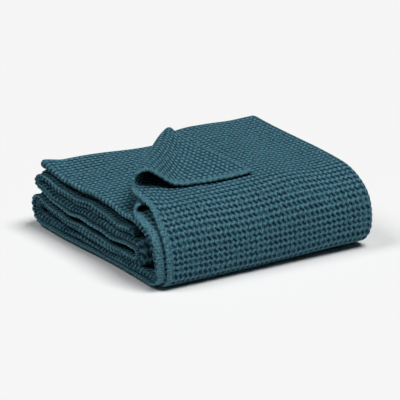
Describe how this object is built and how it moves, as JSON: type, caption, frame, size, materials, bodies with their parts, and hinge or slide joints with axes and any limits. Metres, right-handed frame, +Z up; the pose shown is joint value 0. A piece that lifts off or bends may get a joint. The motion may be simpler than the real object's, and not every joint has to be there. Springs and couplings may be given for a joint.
{
  "type": "folded throw blanket",
  "caption": "Waffle-weave cotton throw blanket, folded into a thick block with a corner of its top sheet turned back.",
  "frame": {"origin": "middle of the footprint, on the surface that the folded throw lies on", "axes": "+X along the lengthwise creases, from the open hems to the closed creases; +Y from the near side, where the top layer wraps round, to the back; +Z up"},
  "size_m": [0.3386, 0.3306, 0.1332],
  "materials": {
    "throw_cloth": "dull petrol blue cotton, raised waffle weave on both faces"
  },
  "bodies": {
    "root": {"throw": "throw_cloth"}
  },
  "joints": []
}
